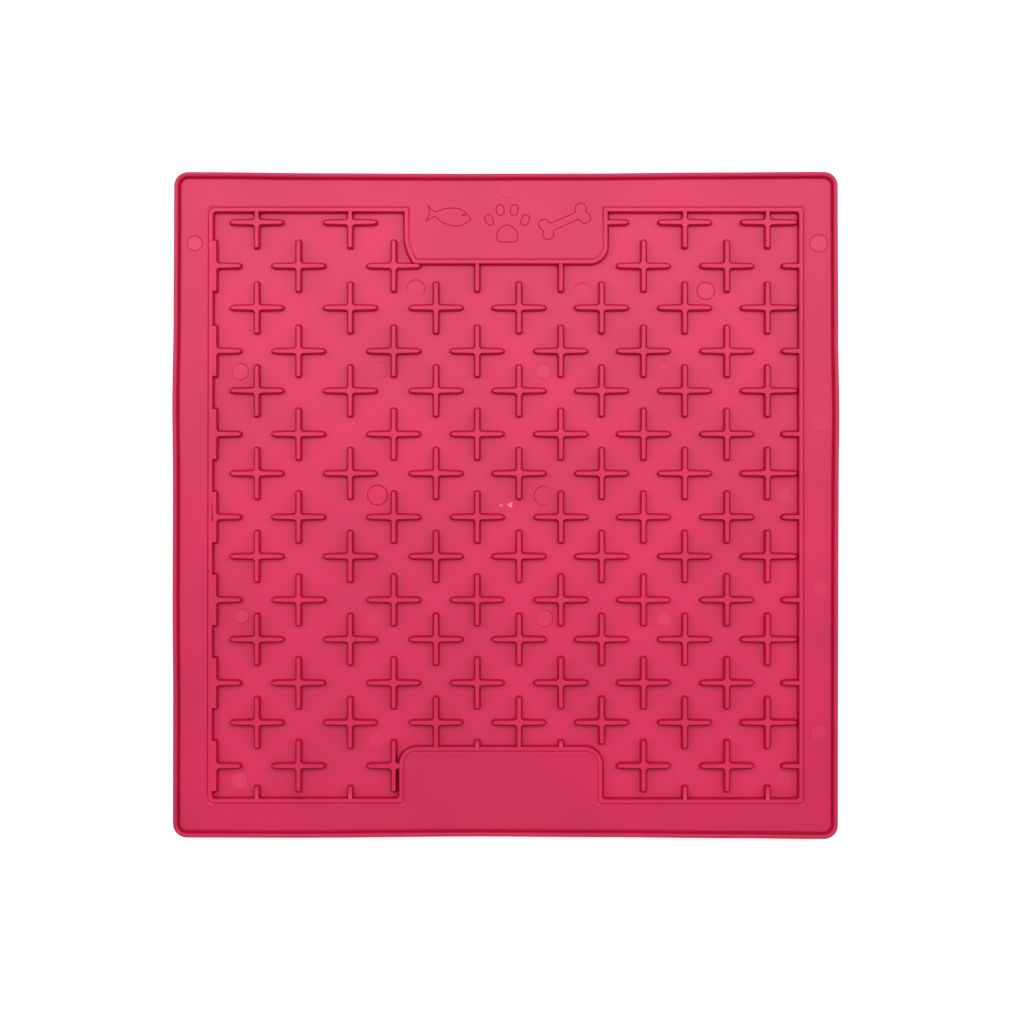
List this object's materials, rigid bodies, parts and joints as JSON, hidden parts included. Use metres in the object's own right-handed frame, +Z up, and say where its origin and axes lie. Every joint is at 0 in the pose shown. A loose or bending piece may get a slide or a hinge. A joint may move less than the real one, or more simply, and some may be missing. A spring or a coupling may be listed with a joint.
{
  "type": "lick mat",
  "caption": "Square moulded rubber lick mat: rounded rim, flat margin with two tabs, and a sunk bed with staggered raised crosses.",
  "frame": {"origin": "centre of the flat underside, which rests on the surface", "axes": "+Z up out of the patterned face, +Y towards the side with the blank upper tab, +X to the right seen from above"},
  "size_m": [0.2, 0.2, 0.0058],
  "materials": {
    "moulded_rubber": "satin"
  },
  "bodies": {
    "root": {"mat": "moulded_rubber"}
  },
  "joints": []
}
